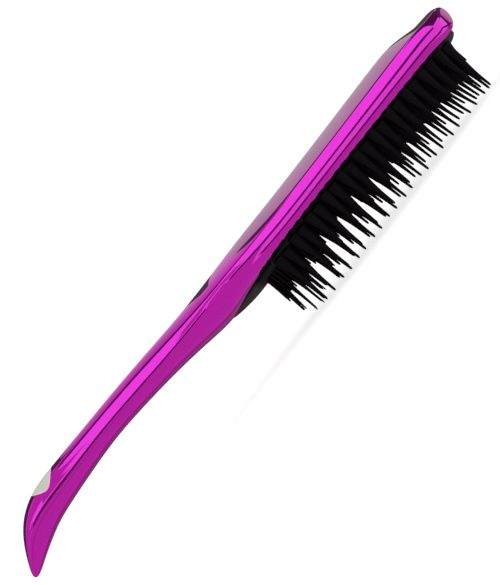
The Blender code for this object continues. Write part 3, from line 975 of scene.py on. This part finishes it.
def badge_finish():
    """A pale satin disc, left blank, with a painted rosy reflection of the plating round its edge."""
    material, tree, shader = new_material("pale_disc", pale_badge, roughness=0.38)
    face = blended(tree, grain(tree, scale=500.0), pale_badge, darker(pale_badge, share=0.88))
    away = distance_from(tree, (*badge_centre, 0), (1, 1, 0))
    # Painted reflection: the disc's edge turns rosy, as if it mirrored the plating round it
    painted_reflection_mask = ramp(tree, away, badge_radius - badge_painted_reflection_width, badge_radius)
    tree.links.new(blended(tree, painted_reflection_mask, face, painted_reflection_rosy), shader.inputs["Base Color"])
    vary_roughness(tree, shader, scale=900.0, low=0.3, high=0.5)
    bump(tree, shader, grain(tree, scale=1800.0), strength=0.2, distance=0.00003)
    return material


def plate_finish():
    """Plain moulded plastic, out of sight."""
    material, tree, shader = new_material("moulded_white", white_plastic, roughness=0.5)
    mottle(tree, shader, scale=300.0, first=white_plastic, second=darker(white_plastic, share=0.85))
    bump(tree, shader, grain(tree, scale=1200.0), strength=0.2, distance=0.00005)
    return material


def steel_finish():
    """Turned steel, out of sight."""
    material, tree, shader = new_material("turned_steel", plain_steel, roughness=0.3, metallic=1.0)
    mottle(tree, shader, scale=700.0, first=plain_steel, second=darker(plain_steel, share=0.7))
    vary_roughness(tree, shader, scale=2500.0, low=0.22, high=0.42)
    return material


def give_finish(piece, material):
    piece.data.materials.clear()
    piece.data.materials.append(material)


# The stage

def show_white(tree, own_light):
    """1 for the rays of the camera, of mirrors and of glass, and the own light for all others."""
    path = tree.nodes.new("ShaderNodeLightPath")
    total = tree.nodes.new("ShaderNodeMath")
    total.operation = "ADD"
    tree.links.new(path.outputs["Is Camera Ray"], total.inputs[0])
    tree.links.new(path.outputs["Is Glossy Ray"], total.inputs[1])
    clamped = tree.nodes.new("ShaderNodeMath")
    clamped.operation = "ADD"
    clamped.use_clamp = True
    tree.links.new(total.outputs[0], clamped.inputs[0])
    tree.links.new(path.outputs["Is Transmission Ray"], clamped.inputs[1])
    return in_range(tree, clamped.outputs[0], own_light, 1.0)


def make_world():
    world = bpy.data.worlds.new("white_studio")
    bpy.context.scene.world = world
    world.use_nodes = True
    tree = world.node_tree
    sky = tree.nodes["Background"]
    sky.inputs["Color"].default_value = (1, 1, 1, 1)
    tree.links.new(show_white(tree, room_light), sky.inputs["Strength"])


def make_floor():
    """A pale floor that looks white and still takes the brush's shadow."""
    leave_edit()
    bpy.ops.mesh.primitive_plane_add(size=floor_size, location=(0, 0, 0))
    floor = bpy.context.object
    floor.name = "floor"
    material = bpy.data.materials.new("pale_floor")
    material.use_nodes = True
    tree = material.node_tree
    tree.nodes.remove(tree.nodes["Principled BSDF"])
    matt = tree.nodes.new("ShaderNodeBsdfDiffuse")
    matt.inputs["Color"].default_value = floor_grey
    glow = tree.nodes.new("ShaderNodeEmission")
    tree.links.new(in_range(tree, show_white(tree, 0.0), 0.0, floor_glow), glow.inputs["Strength"])
    both = tree.nodes.new("ShaderNodeAddShader")
    tree.links.new(matt.outputs[0], both.inputs[0])
    tree.links.new(glow.outputs[0], both.inputs[1])
    tree.links.new(both.outputs[0], tree.nodes["Material Output"].inputs["Surface"])
    give_finish(floor, material)


def only_in_mirrors(piece, colour):
    """Gives a card a glowing colour that only mirror rays see."""
    material = bpy.data.materials.new(piece.name)
    material.use_nodes = True
    tree = material.node_tree
    tree.nodes.remove(tree.nodes["Principled BSDF"])
    glow = tree.nodes.new("ShaderNodeEmission")
    glow.inputs["Color"].default_value = (*colour, 1)
    tree.links.new(glow.outputs[0], tree.nodes["Material Output"].inputs["Surface"])
    material.cycles.emission_sampling = "NONE"
    give_finish(piece, material)
    piece.visible_camera = False
    piece.visible_diffuse = False
    piece.visible_transmission = False
    piece.visible_shadow = False


def card(name, corners, colour):
    """A flat card with its corners in order round it."""
    leave_edit()
    bpy.ops.mesh.primitive_plane_add(size=1)
    piece = bpy.context.object
    piece.name = name
    round_it = [piece.data.vertices[n] for n in plane_corners]
    for point, corner in zip(round_it, corners):
        point.co = corner
    only_in_mirrors(piece, colour)


def on_floor(outline, lift):
    return [(x, y, lift) for x, y in outline]


def seen_at(degrees, distance):
    """The (y, z) of a line seen from the brush so far round: 0 is ahead, 90 above, 180 behind."""
    turn = math.radians(degrees)
    return (-distance * math.cos(turn), brush_middle + distance * math.sin(turn))


def along_brush(left, right, first, last, distance):
    """The corners of a card from left to right, between two turns round the brush."""
    low, high = seen_at(first, distance), seen_at(last, distance)
    return [(left, *low), (right, *low), (right, *high), (left, *high)]


def across_line(x, front, back, top):
    """The corners of an upright card across the brush's line."""
    return [(x, front, 0), (x, back, 0), (x, back, top), (x, front, top)]


def neck_patch_corners():
    """The corners of the small tapered card close behind the neck."""
    corners = []
    for degrees, ends in neck_patch_edges:
        line = seen_at(degrees, neck_patch_distance)
        corners += [(x, *line) for x in ends]
    return corners


def make_cards():
    """The cards round the brush that its plating mirrors; all else there is white."""
    for name, left, right, back, front, lift, colour in oblong_cards:
        outline = ((left, back), (right, back), (right, front), (left, front))
        card(name, on_floor(outline, lift), colour)
    for name, lift, colour, outline in shaped_cards:
        card(name, on_floor(outline, lift), colour)
    for name, left, right, first, last, distance, colour in view_cards:
        card(name, along_brush(left, right, first, last, distance), colour)
    for name, x, front, back, top, colour in side_cards:
        card(name, across_line(x, front, back, top), colour)
    card("right_patch", [(lit_end, y, z) for y, z in right_patch_outline], dark_card)
    card("neck_patch", neck_patch_corners(), dark_card)


def make_lamp():
    """A wide soft light that falls alike on the whole floor."""
    data = bpy.data.lights.new("overhead_lamp", "SUN")
    data.angle = lamp_spread
    data.energy = lamp_strength
    lamp = bpy.data.objects.new("overhead_lamp", data)
    bpy.context.scene.collection.objects.link(lamp)
    lamp.location = lamp_place
    lamp.rotation_euler = (-Vector(lamp_place)).to_track_quat("-Z", "Y").to_euler()
    lamp.visible_glossy = False


def make_camera():
    data = bpy.data.cameras.new("camera")
    camera = bpy.data.objects.new("camera", data)
    bpy.context.scene.collection.objects.link(camera)
    sight = Vector(camera_target) - Vector(camera_place)
    turned = sight.to_track_quat("-Z", "Y").to_matrix() @ Matrix.Rotation(camera_roll, 3, "Z")
    camera.location = camera_place
    camera.rotation_euler = turned.to_euler()
    data.sensor_width = film_width
    data.lens = pixels_per_millimetre * sight.length * millimetres / picture_height * film_width
    data.clip_start = nearest_seen
    bpy.context.scene.camera = camera


# Putting it together

def stand_for(piece, slot, *nodes):
    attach(piece, "root")
    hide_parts(*nodes)


def make_body():
    """The pieces cut from the brush's body: shell, belly cover and badge."""
    body = body_form("body", inset=0.0, first_share=0.0, last_share=1.0)
    sharpen_crease(body)
    subdivide_smoothly(body, smooth_levels)
    hollow = body_form("hollow", shell_wall, cavity_start_share, cavity_end_share)
    subdivide_smoothly(hollow, hollow_levels)
    plating = plated_finish("plated_magenta")
    shell = make_shell(body, hollow)
    cover = make_cover(body, hollow)
    badge = make_badge(body)
    bpy.data.objects.remove(body)
    bpy.data.objects.remove(hollow)
    for piece in (shell, cover):
        give_finish(piece, plating)
    give_finish(badge, badge_finish())
    stand_for(shell, "shell", "back_shell")
    stand_for(cover, "cover", "grip_cover")
    stand_for(badge, "badge", "badge_disc")


def make_bristle_side():
    """The pad and its bundles of bristles."""
    pad = make_pad()
    give_finish(pad, pad_finish())
    stand_for(pad, "pad", "bristle_pad")
    strand_nylon = nylon_finish("black_strands", bristle_nylon, roughness=0.5, gloss=0.1)
    thin_profile = [(down, thin_share * radius) for down, radius in long_bristle_profile]
    forms = {
        "long": bristle_form("long_strand", long_bristle_profile, long_bristle_sides),
        "thin": bristle_form("thin_strand", thin_profile, long_bristle_sides),
        "edge": bristle_form("edge_strand", edge_bristle_profile, long_bristle_sides),
        "short": bristle_form("short_strand", short_bristle_profile, short_bristle_sides),
    }
    chance = random.Random(chance_seed)
    for index in range(slice_count):
        bundle = make_bristles(index, forms, chance)
        give_finish(bundle, strand_nylon)
        stand_for(bundle, "bristles", f"bristle_slice_{index + 1:02d}")
    for form in forms.values():
        bpy.data.objects.remove(form)


def give_node(node, material):
    for place in node.material_slots:
        place.material = material


def dress_hidden_parts():
    """Finishes the solids that stay as they are: the backing plate and the screws."""
    steel = steel_finish()
    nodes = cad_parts
    give_node(nodes["backing_plate"], plate_finish())
    for name in ("tail_screw", "plate_screw_1", "plate_screw_2", "plate_screw_3", "plate_screw_4"):
        give_node(nodes[name], steel)


make_body()
make_bristle_side()
dress_hidden_parts()
make_world()
make_floor()
make_cards()
make_lamp()
make_camera()
bpy.context.scene.view_settings.view_transform = "Standard"
